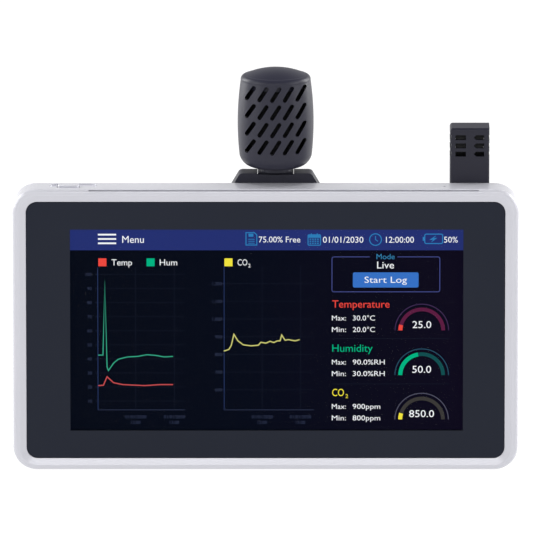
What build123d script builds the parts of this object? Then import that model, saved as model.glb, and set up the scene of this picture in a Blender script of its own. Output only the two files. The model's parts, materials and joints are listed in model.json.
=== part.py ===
from build123d import *
from math import cos, hypot, radians
import os

os.makedirs("parts", exist_ok=True)

# A table-top carbon dioxide monitor: a landscape touch-screen case, a vented CO2 head
# that folds back on a hinge, a plug-in climate probe, a power button and a fold-out stand.
# Origin: centre of the flat bottom. +X right, +Z up, -Y towards the user. Millimetres.
# "Depth" is the distance behind the front of the frame.

# ---------------------------------------------------------------- case
case_w = 150.0
case_h = 85.1
frame_depth = 10.0
cover_depth = 12.0
case_corner = 7.0
frame_wall = 2.0
frame_edge_r = 1.2
cover_wall = 2.0
cover_inset = 1.0
cover_side_taper = 3.0
cover_top_drop = 13.5
cover_edge_r = 1.5

# ---------------------------------------------------------------- glass and display
rim_side = 4.0
rim_top = 3.9
rim_low = 3.5
glass_corner = 3.3
glass_t = 1.1
glass_recess = 0.75
glass_gap = 0.1
bevel_w = 1.9
mask_t = 0.1
gasket_t = 0.3
ledge_t = 1.4
border_left = 13.0
border_right = 12.35
border_end = 8.35
window_gap = 1.0
panel_margin_x = 2.6
panel_margin_z = 3.0
panel_t = 1.4
tray_t = 2.0
display_gap = 0.15

# ---------------------------------------------------------------- fasteners
screw_r = 0.9
screw_fit = 0.05
screw_hole_r = 1.2
screw_head_r = 2.0
screw_head_t = 1.6
screw_drive_r = 0.9
small_screw_r = 0.7
small_head_r = 1.4
small_head_t = 0.9
small_drive_r = 0.5
boss_r = 2.6
pillar_r = 3.4
case_screw_side = 9.5
case_screw_low = 6.0
case_screw_drop = 27.5
counterbore_depth = 3.0

# ---------------------------------------------------------------- electronics
board_t = 1.2
board_to_cover = 0.2
board_left_gap = 4.0
board_right_gap = 27.0
board_low = 10.5
board_top_gap = 5.5
board_screw_left_gap = 15.0
board_screw_right_gap = 4.0
board_screw_low = 16.0
board_screw_drop = 14.0
battery_left_gap = 8.0
battery_right_gap = 34.0
battery_low = 12.0
battery_top_gap = 29.6
battery_t = 6.0
battery_lift = 1.0
chip_t = 1.4
chip_column_gap = 21.0
sounder_gap = 14.0
usb_z = 30.0
usb_w = 8.9
usb_h = 3.2
usb_l = 7.3
sounder_r = 4.5
sounder_t = 2.4

# ---------------------------------------------------------------- power button
button_side = 16.6
button_w = 6.2
button_d = 4.2
button_depth = 5.9
button_proud = 0.45
button_travel = 0.5
button_gap = 0.15
button_flange = 1.0
scoop_w = 14.0
scoop_shift = 1.4
scoop_depth = 0.4
pinhole_r = 0.5
pinhole_depth = 5.0
reset_r = 0.7
reset_drop = 8.1
line_start = 22.5
line_end = 11.8
line_w = 0.45
line_depth = 0.75

# ---------------------------------------------------------------- CO2 head and its cradle
head_x = 3.0
pivot_drop = 1.5
pivot_pin_r = 1.0
hinge_fit = 0.05
knuckle_r = 2.4
knuckle_w = 9.4
stem_w = 10.6
washer_t = 0.6
cradle_rise = 2.85
cradle_top_w = 21.2
cradle_flare = 0.586
cradle_front = 0.3
cradle_back = 17.6
cradle_slot_w = 10.8
cradle_corner = 1.6
cradle_bevel = 0.5
cradle_screw_x = 9.5
cradle_screw_depth = 14.0
part_gap = 0.3
collar_r = 4.6
collar_t = 1.3
head_wall = 1.2
head_low_r = 5.85
head_belly_r = 10.75
head_mid_r = 11.28
head_top_r = 10.4
head_shell_h = 26.1
belly_rise = 3.6
belly_cut = 1.25
waist_rise = 14.8
head_cap_h = 3.55
slot_l = 5.2
slot_w = 1.25
slot_lean = 32.0
slot_drop = 2.6
slot_pitch = 5.3
slot_step = 3.75
slot_rows = 4
slot_columns = 5

# ---------------------------------------------------------------- climate probe
probe_side = 14.4
probe_w = 11.7
probe_t = 9.4
probe_drop = 13.5
probe_rise = 16.45
probe_wall = 1.2
probe_left_r = 0.9
probe_right_r = 2.2
probe_edge_r = 0.7
louvre_h = 1.5
louvre_w = 3.1
louvre_x = 2.7
louvre_pitch = 2.5
louvre_drop = 2.8
louvre_rows = 3
pocket_wall = 1.5
plug_r = 1.7
plug_l = 5.5

# ---------------------------------------------------------------- stand
stand_w = 44.0
stand_low = 8.9
stand_axis_drop = 33.1
stand_t = 2.2
stand_pin_r = 0.55
stand_pad_h = 1.6
stand_edge = 3.0

# ---------------------------------------------------------------- what it stands on
pad_side = 25.0
pad_w = 24.0
pad_d = 6.0
pad_depth = 16.5
pad_seat = 0.5
pad_fit = 0.1
rib_gap = 8.0
rib_front = 10.3
rib_back = 19.5

# ---------------------------------------------------------------- worked-out places
total_depth = frame_depth + cover_depth
glass_w = case_w - 2 * rim_side
glass_h = case_h - rim_top - rim_low
glass_z = rim_low + glass_h / 2
screen_w = glass_w - border_left - border_right
screen_h = glass_h - 2 * border_end
screen_x = (border_left - border_right) / 2
ledge_front = glass_recess + glass_t + mask_t + gasket_t
ledge_back = ledge_front + ledge_t
mask_back = glass_recess + glass_t + mask_t
panel_front = mask_back + display_gap
tray_back = panel_front + panel_t + tray_t
panel_w = screen_w + 2 * panel_margin_x
panel_h = screen_h + 2 * panel_margin_z
board_back = frame_depth + board_to_cover
board_front = board_back - board_t
slope = cover_top_drop / cover_depth
slope_run = hypot(1.0, slope)
cover_top = case_h - cover_inset
seat_r = glass_corner + glass_gap
case_screw_x = case_w / 2 - case_screw_side
case_screw_high = case_h - case_screw_drop
board_left = board_left_gap - case_w / 2
board_right = case_w / 2 - board_right_gap
board_high = case_h - board_top_gap
board_screw_left = board_left + board_screw_left_gap
board_screw_right = board_right - board_screw_right_gap
board_screw_high = board_high - board_screw_drop
battery_left = board_screw_left + battery_left_gap
battery_right = board_right - battery_right_gap
battery_top = board_high - battery_top_gap
battery_z = (battery_low + battery_top) / 2
chip_x = board_right - chip_column_gap
sounder_x = board_right - sounder_gap
sounder_z = board_high - sounder_gap
button_x = button_side - case_w / 2
probe_x = case_w / 2 - probe_side
probe_low = case_h - probe_drop
probe_top = case_h + probe_rise
louvre_top = probe_top - louvre_drop
pivot_z = case_h - pivot_drop
cradle_top = case_h + cradle_rise
head_depth = frame_depth + ((knuckle_r + part_gap) * slope_run + cover_top - pivot_z) / slope
stand_axis_z = case_h - stand_axis_drop
pad_x = case_w / 2 - pad_side


def depth_plane(depth, x=0.0, z=0.0):
    """Plane at a depth, looking out of the front: local x is X, local y is Z."""
    return Plane(origin=(x, depth - total_depth / 2, z), x_dir=(1, 0, 0), z_dir=(0, -1, 0))


def y_at(depth):
    """Y coordinate of a depth."""
    return depth - total_depth / 2


def slope_z(depth):
    """Height of the rear cover's sloping top at a depth."""
    return cover_top - slope * (depth - frame_depth)


def side_plane(x):
    """Plane across the case, facing +X: local x is Y, local y is Z."""
    return Plane(origin=(x, 0, 0), x_dir=(0, 1, 0), z_dir=(1, 0, 0))


def slope_plane(x, depth, lift=0.0):
    """Plane lying on the rear cover's sloping top, facing out of it."""
    normal = Vector(0, slope, 1) / slope_run
    origin = Vector(x, y_at(depth), slope_z(depth)) + normal * lift
    return Plane(origin=origin, x_dir=(1, 0, 0), z_dir=normal)


def save(part, name):
    """Label a finished piece and write it."""
    part.label = name
    export_step(part, f"parts/{name}.step")


case_screws = [
    (side * case_screw_x, height)
    for side in (-1, 1)
    for height in (case_screw_low, case_screw_high)
]
board_screw_places = [
    (x, z)
    for x in (board_screw_left, board_screw_right)
    for z in (board_screw_low, board_screw_high)
]
button_y = y_at(button_depth)

# ================================================================ front frame
with BuildPart() as front_frame:
    with BuildSketch(depth_plane(frame_depth, z=case_h / 2)):
        RectangleRounded(case_w, case_h, case_corner)
    extrude(amount=frame_depth)
    fillet(front_frame.faces().sort_by(Axis.Y)[0].edges(), frame_edge_r)
    # inner bevel running down to the glass
    with BuildSketch(depth_plane(0, z=glass_z)):
        RectangleRounded(
            glass_w + 2 * (glass_gap + bevel_w), glass_h + 2 * (glass_gap + bevel_w), seat_r + bevel_w
        )
    with BuildSketch(depth_plane(glass_recess, z=glass_z)):
        RectangleRounded(glass_w + 2 * glass_gap, glass_h + 2 * glass_gap, seat_r)
    loft(mode=Mode.SUBTRACT)
    # seat for the glass
    with BuildSketch(depth_plane(ledge_front, z=glass_z)):
        RectangleRounded(glass_w + 2 * glass_gap, glass_h + 2 * glass_gap, seat_r)
    extrude(amount=ledge_front - glass_recess, mode=Mode.SUBTRACT)
    # window behind the glass, and the open back
    with BuildSketch(depth_plane(ledge_back, z=glass_z)):
        with Locations((screen_x, 0)):
            RectangleRounded(panel_w + 2 * window_gap, panel_h + 2 * window_gap, 1.5)
    extrude(amount=ledge_back, mode=Mode.SUBTRACT)
    with BuildSketch(depth_plane(frame_depth, z=case_h / 2)):
        RectangleRounded(case_w - 2 * frame_wall, case_h - 2 * frame_wall, case_corner - frame_wall)
    extrude(amount=frame_depth - ledge_back, mode=Mode.SUBTRACT)
    # screw bosses
    with BuildSketch(depth_plane(frame_depth)):
        with Locations(*case_screws):
            Circle(boss_r)
    extrude(amount=frame_depth - ledge_back)
    with BuildSketch(depth_plane(frame_depth)):
        with Locations(*case_screws):
            Circle(screw_r + screw_fit)
    extrude(amount=frame_depth - ledge_back - 0.6, mode=Mode.SUBTRACT)
    # scoop and hole for the power button, pinhole beside it
    with BuildSketch(Plane.XY.offset(case_h)):
        with Locations((button_x + scoop_shift, button_y)):
            RectangleRounded(scoop_w, button_d + 2.0, (button_d + 2.0) / 2 - 0.05)
    extrude(amount=-scoop_depth, mode=Mode.SUBTRACT)
    with BuildSketch(Plane.XY.offset(case_h)):
        with Locations((button_x, button_y)):
            RectangleRounded(button_w + 2 * button_gap, button_d + 2 * button_gap, 1.0 + button_gap)
        with Locations((probe_x - 7.6, y_at(pinhole_depth))):
            Circle(pinhole_r)
    extrude(amount=-frame_wall - 0.5, mode=Mode.SUBTRACT)
    # shadow line along the rounded top edge, between the button's scoop and the right corner
    line_inset = frame_edge_r * (1 - cos(radians(45)))
    line_middle = ((line_start - line_end) / 2, y_at(line_inset), case_h - line_inset)
    with BuildSketch(Plane(origin=line_middle, x_dir=(1, 0, 0), z_dir=(0, -1, 1))):
        SlotOverall(case_w - line_start - line_end, line_w)
    extrude(amount=-line_depth, mode=Mode.SUBTRACT)
    # charging port and reset hole in the left wall
    usb_centre_y = y_at(board_front - usb_h / 2)
    with BuildSketch(side_plane(-case_w / 2)):
        with Locations((usb_centre_y, usb_z)):
            SlotOverall(usb_w + 0.5, usb_h + 0.5, rotation=90)
        with Locations((y_at(pinhole_depth), case_h - reset_drop)):
            Circle(reset_r)
    extrude(amount=frame_wall + 0.1, mode=Mode.SUBTRACT)
save(front_frame.part, "front_frame")

# ================================================================ glass and display stack
with BuildPart() as cover_glass:
    with BuildSketch(depth_plane(glass_recess + glass_t, z=glass_z)):
        RectangleRounded(glass_w, glass_h, glass_corner)
    extrude(amount=glass_t)
    chamfer(cover_glass.faces().sort_by(Axis.Y)[0].edges(), 0.15)
save(cover_glass.part, "cover_glass")

with BuildPart() as border_mask:
    with BuildSketch(depth_plane(mask_back, z=glass_z)):
        RectangleRounded(glass_w, glass_h, glass_corner)
        with Locations((screen_x, 0)):
            Rectangle(screen_w, screen_h, mode=Mode.SUBTRACT)
    extrude(amount=mask_t)
save(border_mask.part, "border_mask")

with BuildPart() as glass_gasket:
    with BuildSketch(depth_plane(ledge_front, z=glass_z)):
        RectangleRounded(glass_w - 0.6, glass_h - 0.6, glass_corner - 0.3)
        with Locations((screen_x, 0)):
            RectangleRounded(
                panel_w + 2 * window_gap + 0.6, panel_h + 2 * window_gap + 0.6, 1.8, mode=Mode.SUBTRACT
            )
    extrude(amount=gasket_t)
save(glass_gasket.part, "glass_gasket")

with BuildPart() as display_panel:
    with BuildSketch(depth_plane(panel_front + panel_t, z=glass_z)):
        with Locations((screen_x, 0)):
            Rectangle(panel_w, panel_h)
    extrude(amount=panel_t)
save(display_panel.part, "display_panel")

with BuildPart() as backlight_tray:
    with BuildSketch(depth_plane(tray_back, z=glass_z)):
        with Locations((screen_x, 0)):
            RectangleRounded(panel_w, panel_h, 0.8)
    extrude(amount=tray_t)
    with BuildSketch(depth_plane(tray_back, z=glass_z)):
        with Locations((screen_x, 0)):
            with GridLocations(panel_w / 3, panel_h / 2, 3, 2):
                RectangleRounded(panel_w / 3 - 8, panel_h / 2 - 6, 2)
    extrude(amount=0.5, mode=Mode.SUBTRACT)
save(backlight_tray.part, "backlight_tray")

# ================================================================ electronics
with BuildPart() as main_board:
    with BuildSketch(depth_plane(board_back)):
        with Locations(((board_right + board_left) / 2, (board_low + board_high) / 2)):
            RectangleRounded(board_right - board_left, board_high - board_low, 3.0)
        with Locations((-case_screw_x, case_screw_high)):
            Circle(pillar_r + 0.5, mode=Mode.SUBTRACT)
        with Locations(*board_screw_places):
            Circle(small_screw_r + 0.2, mode=Mode.SUBTRACT)
    extrude(amount=board_t)
save(main_board.part, "main_board")

with BuildPart() as board_chips:
    with BuildSketch(depth_plane(board_back + chip_t)):
        with Locations((chip_x, battery_z + 5)):
            Rectangle(12.0, 12.0)
        with Locations((chip_x, battery_z + 21)):
            Rectangle(9.0, 7.0)
        with Locations((chip_x, battery_z - 9)):
            Rectangle(6.0, 8.0)
        with Locations((battery_left + 14, board_high - 19), (battery_left + 28, board_high - 19)):
            Rectangle(8.0, 5.0)
    extrude(amount=chip_t)
save(board_chips.part, "board_chips")

flex_r = (board_front - tray_back) / 2
flex_t = 0.25
flex_z = board_low + 2.0
with BuildPart() as display_flex:
    with BuildSketch(side_plane(-30.0)):
        with BuildLine():
            near = y_at(tray_back)
            far = y_at(board_front)
            middle = (near + far) / 2
            Line((near, flex_z + 8), (near, flex_z))
            ThreePointArc((near, flex_z), (middle, flex_z - flex_r), (far, flex_z))
            Line((far, flex_z), (far, flex_z + 8))
            Line((far, flex_z + 8), (far - flex_t, flex_z + 8))
            Line((far - flex_t, flex_z + 8), (far - flex_t, flex_z))
            ThreePointArc(
                (far - flex_t, flex_z), (middle, flex_z - flex_r + flex_t), (near + flex_t, flex_z)
            )
            Line((near + flex_t, flex_z), (near + flex_t, flex_z + 8))
            Line((near + flex_t, flex_z + 8), (near, flex_z + 8))
        make_face()
    extrude(amount=18.0)
save(display_flex.part, "display_flex")

with BuildPart() as usb_socket:
    with BuildSketch(side_plane(-case_w / 2 + 0.6)):
        with Locations((usb_centre_y, usb_z)):
            SlotOverall(usb_w, usb_h, rotation=90)
    extrude(amount=usb_l)
    with BuildSketch(side_plane(-case_w / 2 + 0.6)):
        with Locations((usb_centre_y, usb_z)):
            SlotOverall(usb_w - 0.7, usb_h - 0.7, rotation=90)
    extrude(amount=usb_l - 1.0, mode=Mode.SUBTRACT)
    with BuildSketch(side_plane(-case_w / 2 + 1.6)):
        with Locations((usb_centre_y, usb_z)):
            Rectangle(0.7, usb_w - 2.4)
    extrude(amount=usb_l - 1.0)
save(usb_socket.part, "usb_socket")

with BuildPart() as sounder:
    with BuildSketch(depth_plane(board_front)):
        with Locations((sounder_x, sounder_z)):
            Circle(sounder_r)
    extrude(amount=sounder_t)
    with BuildSketch(depth_plane(board_front - sounder_t)):
        with Locations((sounder_x, sounder_z)):
            Circle(0.8)
    extrude(amount=-0.8, mode=Mode.SUBTRACT)
save(sounder.part, "sounder")

switch_top = case_h - frame_wall - 0.8 - button_travel - 0.45
switch_low = tray_back + 0.3
with BuildPart() as power_switch:
    with BuildSketch(depth_plane(board_front)):
        with Locations((button_x, switch_top - 2.4)):
            Rectangle(6.0, 3.2)
    extrude(amount=board_front - switch_low)
    with BuildSketch(Plane.XY.offset(switch_top)):
        with Locations((button_x, button_y + 0.6)):
            Circle(0.9)
    extrude(amount=-1.0)
save(power_switch.part, "power_switch")

with BuildPart() as battery_pack:
    with BuildSketch(depth_plane(board_back + battery_lift + battery_t, z=battery_z)):
        with Locations(((battery_left + battery_right) / 2, 0)):
            RectangleRounded(battery_right - battery_left, battery_top - battery_low, 1.5)
    extrude(amount=battery_t)
    fillet(battery_pack.edges().filter_by(GeomType.LINE).filter_by(Axis.X), 1.2)
save(battery_pack.part, "battery_pack")

# ================================================================ rear cover
probe_front_depth = frame_depth + part_gap
probe_back_depth = probe_front_depth + probe_t
probe_mid_depth = (probe_front_depth + probe_back_depth) / 2
pocket_low = probe_low - part_gap
pocket_w = probe_w + 2 * part_gap
pocket_back = probe_back_depth + part_gap
pocket_block_w = pocket_w + 2 * pocket_wall
stand_depth = total_depth - stand_t / 2 - 0.05
stand_floor = stand_depth - stand_t / 2 - part_gap
stand_top = stand_axis_z + stand_t / 2 + part_gap


def cover_section(depth, inset, drop, corner):
    """Rounded outline of the rear cover at a depth, moved in by a wall on each side."""
    share = (depth - frame_depth) / cover_depth
    half_w = case_w / 2 - cover_inset - cover_side_taper * share - inset
    low = cover_inset + inset
    high = slope_z(depth) - drop
    with BuildSketch(depth_plane(depth, z=(low + high) / 2)) as section:
        RectangleRounded(2 * half_w, high - low, corner)
    return section.sketch


cover_corner = case_corner - cover_inset
outer_front = cover_section(frame_depth, 0, 0, cover_corner)
outer_back = cover_section(total_depth, 0, 0, cover_corner)
inner_front = cover_section(frame_depth, cover_wall, cover_wall * slope_run, cover_corner - cover_wall)
inner_back = cover_section(
    total_depth - cover_wall, cover_wall, cover_wall * slope_run, cover_corner - cover_wall
)

with BuildPart() as cover_cavity:
    loft([inner_front, inner_back])
    # solid round the probe pocket and behind the stand
    with BuildSketch(depth_plane(total_depth)):
        with Locations((probe_x, pocket_low - pocket_wall + 15)):
            Rectangle(pocket_block_w, 30)
    extrude(amount=cover_depth + 1, mode=Mode.SUBTRACT)
    with BuildSketch(depth_plane(total_depth)):
        with Locations((0, (cover_inset + stand_top + 4.5) / 2)):
            Rectangle(stand_w + 7, stand_top + 4.5 - cover_inset)
    extrude(amount=total_depth - stand_floor + 1.8, mode=Mode.SUBTRACT)
    # screw pillars and board posts
    with BuildSketch(depth_plane(total_depth)):
        with Locations(*case_screws):
            Circle(pillar_r)
    extrude(amount=cover_depth + 1, mode=Mode.SUBTRACT)
    with BuildSketch(depth_plane(total_depth)):
        with Locations(*board_screw_places):
            Circle(boss_r)
    extrude(amount=total_depth - board_back, mode=Mode.SUBTRACT)

with BuildPart() as rear_cover:
    loft([outer_front, outer_back])
    fillet(rear_cover.faces().sort_by(Axis.Y)[-1].edges(), cover_edge_r)
    add(cover_cavity.part, mode=Mode.SUBTRACT)
    # case screws: counterbored from behind
    with BuildSketch(depth_plane(total_depth)):
        with Locations(*case_screws):
            Circle(screw_hole_r)
    extrude(amount=cover_depth, mode=Mode.SUBTRACT)
    with BuildSketch(depth_plane(total_depth)):
        with Locations(*case_screws):
            Circle(screw_head_r + 0.2)
    extrude(amount=counterbore_depth, mode=Mode.SUBTRACT)
    # pilot holes in the board posts
    with BuildSketch(depth_plane(board_back + 5)):
        with Locations(*board_screw_places):
            Circle(small_screw_r + screw_fit)
    extrude(amount=5, mode=Mode.SUBTRACT)
    # probe pocket, open at the sloping top, with a floor hole for the plug
    with BuildSketch(Plane.XY.offset(pocket_low)):
        with Locations((probe_x, y_at((frame_depth + pocket_back) / 2))):
            Rectangle(pocket_w, pocket_back - frame_depth)
    extrude(amount=30, mode=Mode.SUBTRACT)
    with BuildSketch(Plane.XY.offset(pocket_low)):
        with Locations((probe_x, y_at(probe_mid_depth))):
            Circle(plug_r + part_gap)
    extrude(amount=-pocket_wall, mode=Mode.SUBTRACT)
    with BuildSketch(depth_plane(frame_depth)):
        with Locations((probe_x, (pocket_low - pocket_wall + case_h - frame_wall - part_gap) / 2)):
            Rectangle(pocket_block_w, case_h - frame_wall - part_gap - pocket_low + pocket_wall)
    extrude(amount=1.2)
    # recess for the stand, with a finger scoop below it
    with BuildSketch(depth_plane(total_depth)):
        with Locations((0, (stand_low - part_gap + stand_top) / 2)):
            Rectangle(stand_w + 2 * part_gap, stand_top - stand_low + part_gap)
    extrude(amount=total_depth - stand_floor, mode=Mode.SUBTRACT)
    with BuildSketch(depth_plane(total_depth)):
        with Locations((0, stand_low - part_gap)):
            SlotOverall(18, 8)
    extrude(amount=1.6, mode=Mode.SUBTRACT)
    # bores for the stand's pin
    with BuildSketch(side_plane(-stand_w / 2 - stand_edge)):
        with Locations((y_at(stand_depth), stand_axis_z)):
            Circle(stand_pin_r)
    extrude(amount=stand_w + 2 * stand_edge, mode=Mode.SUBTRACT)
    # seats for the foot pads
    with BuildSketch(Plane.XY.offset(cover_inset)):
        with Locations((-pad_x, y_at(pad_depth)), (pad_x, y_at(pad_depth))):
            RectangleRounded(pad_w + 2 * pad_fit, pad_d + 2 * pad_fit, 1.2)
    extrude(amount=pad_seat, mode=Mode.SUBTRACT)
    # standing rib under the middle, level with the frame
    with BuildSketch(Plane.XY):
        with Locations((0, y_at((rib_front + rib_back) / 2))):
            Rectangle(2 * (pad_x - pad_w / 2 - rib_gap), rib_back - rib_front)
    extrude(amount=cover_inset + pad_seat)
    # screw holes under the sensor cradle
    cradle_screw_places = [(head_x + side * cradle_screw_x, cradle_screw_depth) for side in (-1, 1)]
    for place_x, place_depth in cradle_screw_places:
        with BuildSketch(slope_plane(place_x, place_depth)):
            Circle(small_screw_r + 0.2)
        extrude(amount=-cover_wall - 0.2, mode=Mode.SUBTRACT)
save(rear_cover.part, "rear_cover")

with BuildPart() as foot_pads:
    with BuildSketch(Plane.XY):
        with Locations((-pad_x, y_at(pad_depth)), (pad_x, y_at(pad_depth))):
            RectangleRounded(pad_w, pad_d, 1.1)
    extrude(amount=cover_inset + pad_seat)
    chamfer(foot_pads.faces().sort_by(Axis.Z)[:2].edges(), 0.3)
save(foot_pads.part, "foot_pads")

# ================================================================ screws
with BuildPart() as case_screws_part:
    head_back = total_depth - counterbore_depth + screw_head_t
    with BuildSketch(depth_plane(head_back)):
        with Locations(*case_screws):
            Circle(screw_head_r)
    extrude(amount=screw_head_t)
    chamfer(case_screws_part.faces().sort_by(Axis.Y)[-4:].edges(), 0.3)
    with BuildSketch(depth_plane(head_back)):
        with Locations(*case_screws):
            Circle(screw_r)
    extrude(amount=head_back - ledge_back - 1.2)
    with BuildSketch(depth_plane(head_back)):
        with Locations(*case_screws):
            RegularPolygon(screw_drive_r, 6)
    extrude(amount=0.9, mode=Mode.SUBTRACT)
save(case_screws_part.part, "case_screws")

with BuildPart() as board_screws:
    with BuildSketch(depth_plane(board_front)):
        with Locations(*board_screw_places):
            Circle(small_head_r)
    extrude(amount=small_head_t)
    with BuildSketch(depth_plane(board_front)):
        with Locations(*board_screw_places):
            Circle(small_screw_r)
    extrude(amount=-board_t - 4)
    with BuildSketch(depth_plane(board_front - small_head_t)):
        with Locations(*board_screw_places):
            RegularPolygon(small_drive_r, 6)
    extrude(amount=-0.5, mode=Mode.SUBTRACT)
save(board_screws.part, "board_screws")

with BuildPart() as cradle_screws:
    for place_x, place_depth in cradle_screw_places:
        with BuildSketch(slope_plane(place_x, place_depth, -cover_wall)):
            Circle(small_head_r)
        extrude(amount=-small_head_t)
        with BuildSketch(slope_plane(place_x, place_depth, -cover_wall)):
            Circle(small_screw_r)
        extrude(amount=cover_wall + 2.5)
save(cradle_screws.part, "cradle_screws")

# ================================================================ sensor cradle
cradle_low = slope_z(cradle_back) - 1.0
cradle_low_half = cradle_top_w / 2 + cradle_flare * (cradle_top - cradle_low)
cradle_face = frame_depth + cradle_front
knuckle_front = head_depth - knuckle_r - part_gap
slot_floor = pivot_z - knuckle_r - part_gap
with BuildPart() as sensor_cradle:
    with BuildSketch(depth_plane(cradle_back, x=head_x)) as outline:
        with BuildLine():
            Polyline(
                (-cradle_low_half, cradle_low), (-cradle_top_w / 2, cradle_top),
                (cradle_top_w / 2, cradle_top), (cradle_low_half, cradle_low), close=True,
            )
        make_face()
        fillet(outline.vertices().group_by(Axis.Y)[-1], cradle_corner)
    extrude(amount=cradle_back - cradle_face)
    # bevelled top rear edge, which the tilting head passes
    with BuildSketch(side_plane(head_x - 30)):
        with BuildLine():
            Polyline(
                (y_at(cradle_back) - cradle_bevel, cradle_top), (y_at(cradle_back), cradle_top),
                (y_at(cradle_back), cradle_top - cradle_bevel), close=True,
            )
        make_face()
    extrude(amount=60, mode=Mode.SUBTRACT)
    # seat on the sloping top of the rear cover
    with BuildSketch(side_plane(head_x - 30)):
        with BuildLine():
            Polyline(
                (y_at(frame_depth - 2), slope_z(frame_depth - 2)), (y_at(total_depth), slope_z(total_depth)),
                (y_at(frame_depth - 2), slope_z(total_depth)), close=True,
            )
        make_face()
    extrude(amount=60, mode=Mode.SUBTRACT)
    # slot for the knuckle, open above and behind
    with BuildSketch(depth_plane(total_depth, x=head_x)):
        with Locations((0, slot_floor + 10)):
            Rectangle(cradle_slot_w, 20)
    extrude(amount=total_depth - knuckle_front, mode=Mode.SUBTRACT)
    with BuildSketch(depth_plane(total_depth, x=head_x)):
        with Locations((0, cradle_top)):
            Rectangle(cradle_slot_w, 0.8)
    extrude(amount=total_depth, mode=Mode.SUBTRACT)
    # rib up the front
    with BuildSketch(depth_plane(cradle_face, x=head_x)):
        with Locations((0, cradle_top - 2.0)):
            Rectangle(4.0, 3.0)
    extrude(amount=0.2)
    # bore for the pin, blind on the left
    with BuildSketch(side_plane(head_x - 9.0)):
        with Locations((y_at(head_depth), pivot_z)):
            Circle(pivot_pin_r)
    extrude(amount=30, mode=Mode.SUBTRACT)
    for place_x, place_depth in cradle_screw_places:
        with BuildSketch(slope_plane(place_x, place_depth)):
            Circle(small_screw_r + screw_fit)
        extrude(amount=2.8, mode=Mode.SUBTRACT)
save(sensor_cradle.part, "sensor_cradle")

with BuildPart() as tilt_pin:
    with BuildSketch(side_plane(head_x - 9.0)):
        with Locations((y_at(head_depth), pivot_z)):
            Circle(pivot_pin_r)
    extrude(amount=20.5)
save(tilt_pin.part, "tilt_pin")

# ================================================================ CO2 head
head_y = y_at(head_depth)
head_axis = Axis((head_x, head_y, 0), (0, 0, 1))
collar_low = cradle_top + 0.2
shell_low = collar_low + collar_t
shell_top = shell_low + head_shell_h
belly_z = shell_low + belly_rise
waist_z = shell_low + waist_rise
spigot_r = 3.5
head_plane = depth_plane(head_depth, x=head_x)


def shell_profile(wall, low, top):
    """Half section of the barrel: flat foot, round belly and a gently bowed side."""
    foot = (head_low_r - wall / 2, low)
    belly = (head_belly_r - wall, belly_z + wall / 4)
    bend = (head_belly_r - belly_cut - 0.8 * wall, (low + belly[1]) / 2 - 0.45)
    with BuildSketch(head_plane) as profile:
        with BuildLine():
            Line((0, low), foot)
            ThreePointArc(foot, bend, belly)
            ThreePointArc(belly, (head_mid_r - wall, waist_z), (head_top_r - wall, top))
            Line((head_top_r - wall, top), (0, top))
            Line((0, top), (0, low))
        make_face()
    return profile.sketch


shell_outer = shell_profile(0, shell_low, shell_top)
shell_inner = shell_profile(head_wall, shell_low + head_wall, shell_top)

with BuildPart() as head_shell:
    add(shell_outer)
    revolve(axis=head_axis)
    add(shell_inner)
    revolve(axis=head_axis, mode=Mode.SUBTRACT)
    with BuildSketch(Plane.XY.offset(shell_low)):
        with Locations((head_x, head_y)):
            Circle(spigot_r + 0.1)
    extrude(amount=head_wall, mode=Mode.SUBTRACT)
    # leaning vent slots, cut straight through from front to back
    with BuildSketch(depth_plane(head_depth + 2 * head_mid_r, x=head_x)):
        for column in range(slot_columns):
            for row in range(slot_rows):
                across = slot_step * (column - (slot_columns - 1) / 2)
                with Locations((across, shell_top - slot_drop - slot_pitch * row)):
                    SlotOverall(slot_l, slot_w, rotation=90 - slot_lean)
    extrude(amount=4 * head_mid_r, mode=Mode.SUBTRACT)
save(head_shell.part, "head_shell")

cap_low = shell_top
cap_top = cap_low + head_cap_h
lip_r = head_top_r - head_wall - 0.25
with BuildPart() as head_cap:
    with BuildSketch(head_plane):
        with BuildLine():
            Polyline(
                (0, cap_low), (lip_r - 1.0, cap_low), (lip_r - 1.0, cap_low - 2.0), (lip_r, cap_low - 2.0),
                (lip_r, cap_low), (head_top_r, cap_low), (head_top_r, cap_low + 0.4),
            )
            ThreePointArc(
                (head_top_r, cap_low + 0.4), (head_top_r - 0.35, cap_low + 1.15),
                (head_top_r - 1.4, cap_low + 1.65),
            )
            TangentArc((0, cap_top), (head_top_r - 1.4, cap_low + 1.65), tangent=(1, 0))
            Line((0, cap_top), (0, cap_low))
        make_face()
    revolve(axis=head_axis)
save(head_cap.part, "head_cap")

with BuildPart() as head_knuckle:
    with BuildSketch(side_plane(head_x - knuckle_w / 2)):
        with Locations((head_y, pivot_z)):
            Circle(knuckle_r)
    extrude(amount=knuckle_w)
    with BuildSketch(Plane.XY.offset(pivot_z)):
        with Locations((head_x, head_y)):
            Rectangle(knuckle_w - 0.6, 2 * knuckle_r - 0.4)
    extrude(amount=collar_low - pivot_z)
    # the stem fills the cradle's slot above the washers
    with BuildSketch(Plane.XY.offset(pivot_z + knuckle_r)):
        with Locations((head_x, head_y)):
            Rectangle(stem_w, 2 * knuckle_r - 0.4)
    extrude(amount=collar_low - pivot_z - knuckle_r)
    with BuildSketch(Plane.XY.offset(collar_low)):
        with Locations((head_x, head_y)):
            Circle(collar_r)
    extrude(amount=collar_t)
    with BuildSketch(Plane.XY.offset(shell_low)):
        with Locations((head_x, head_y)):
            Circle(spigot_r)
    extrude(amount=head_wall + 2.0)
    with BuildSketch(Plane.XY.offset(pivot_z + knuckle_r + 1.0)):
        with Locations((head_x, head_y)):
            Circle(1.4)
    extrude(amount=10, mode=Mode.SUBTRACT)
    with BuildSketch(side_plane(head_x - knuckle_w / 2)):
        with Locations((head_y, pivot_z)):
            Circle(pivot_pin_r + hinge_fit)
    extrude(amount=knuckle_w, mode=Mode.SUBTRACT)
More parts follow.
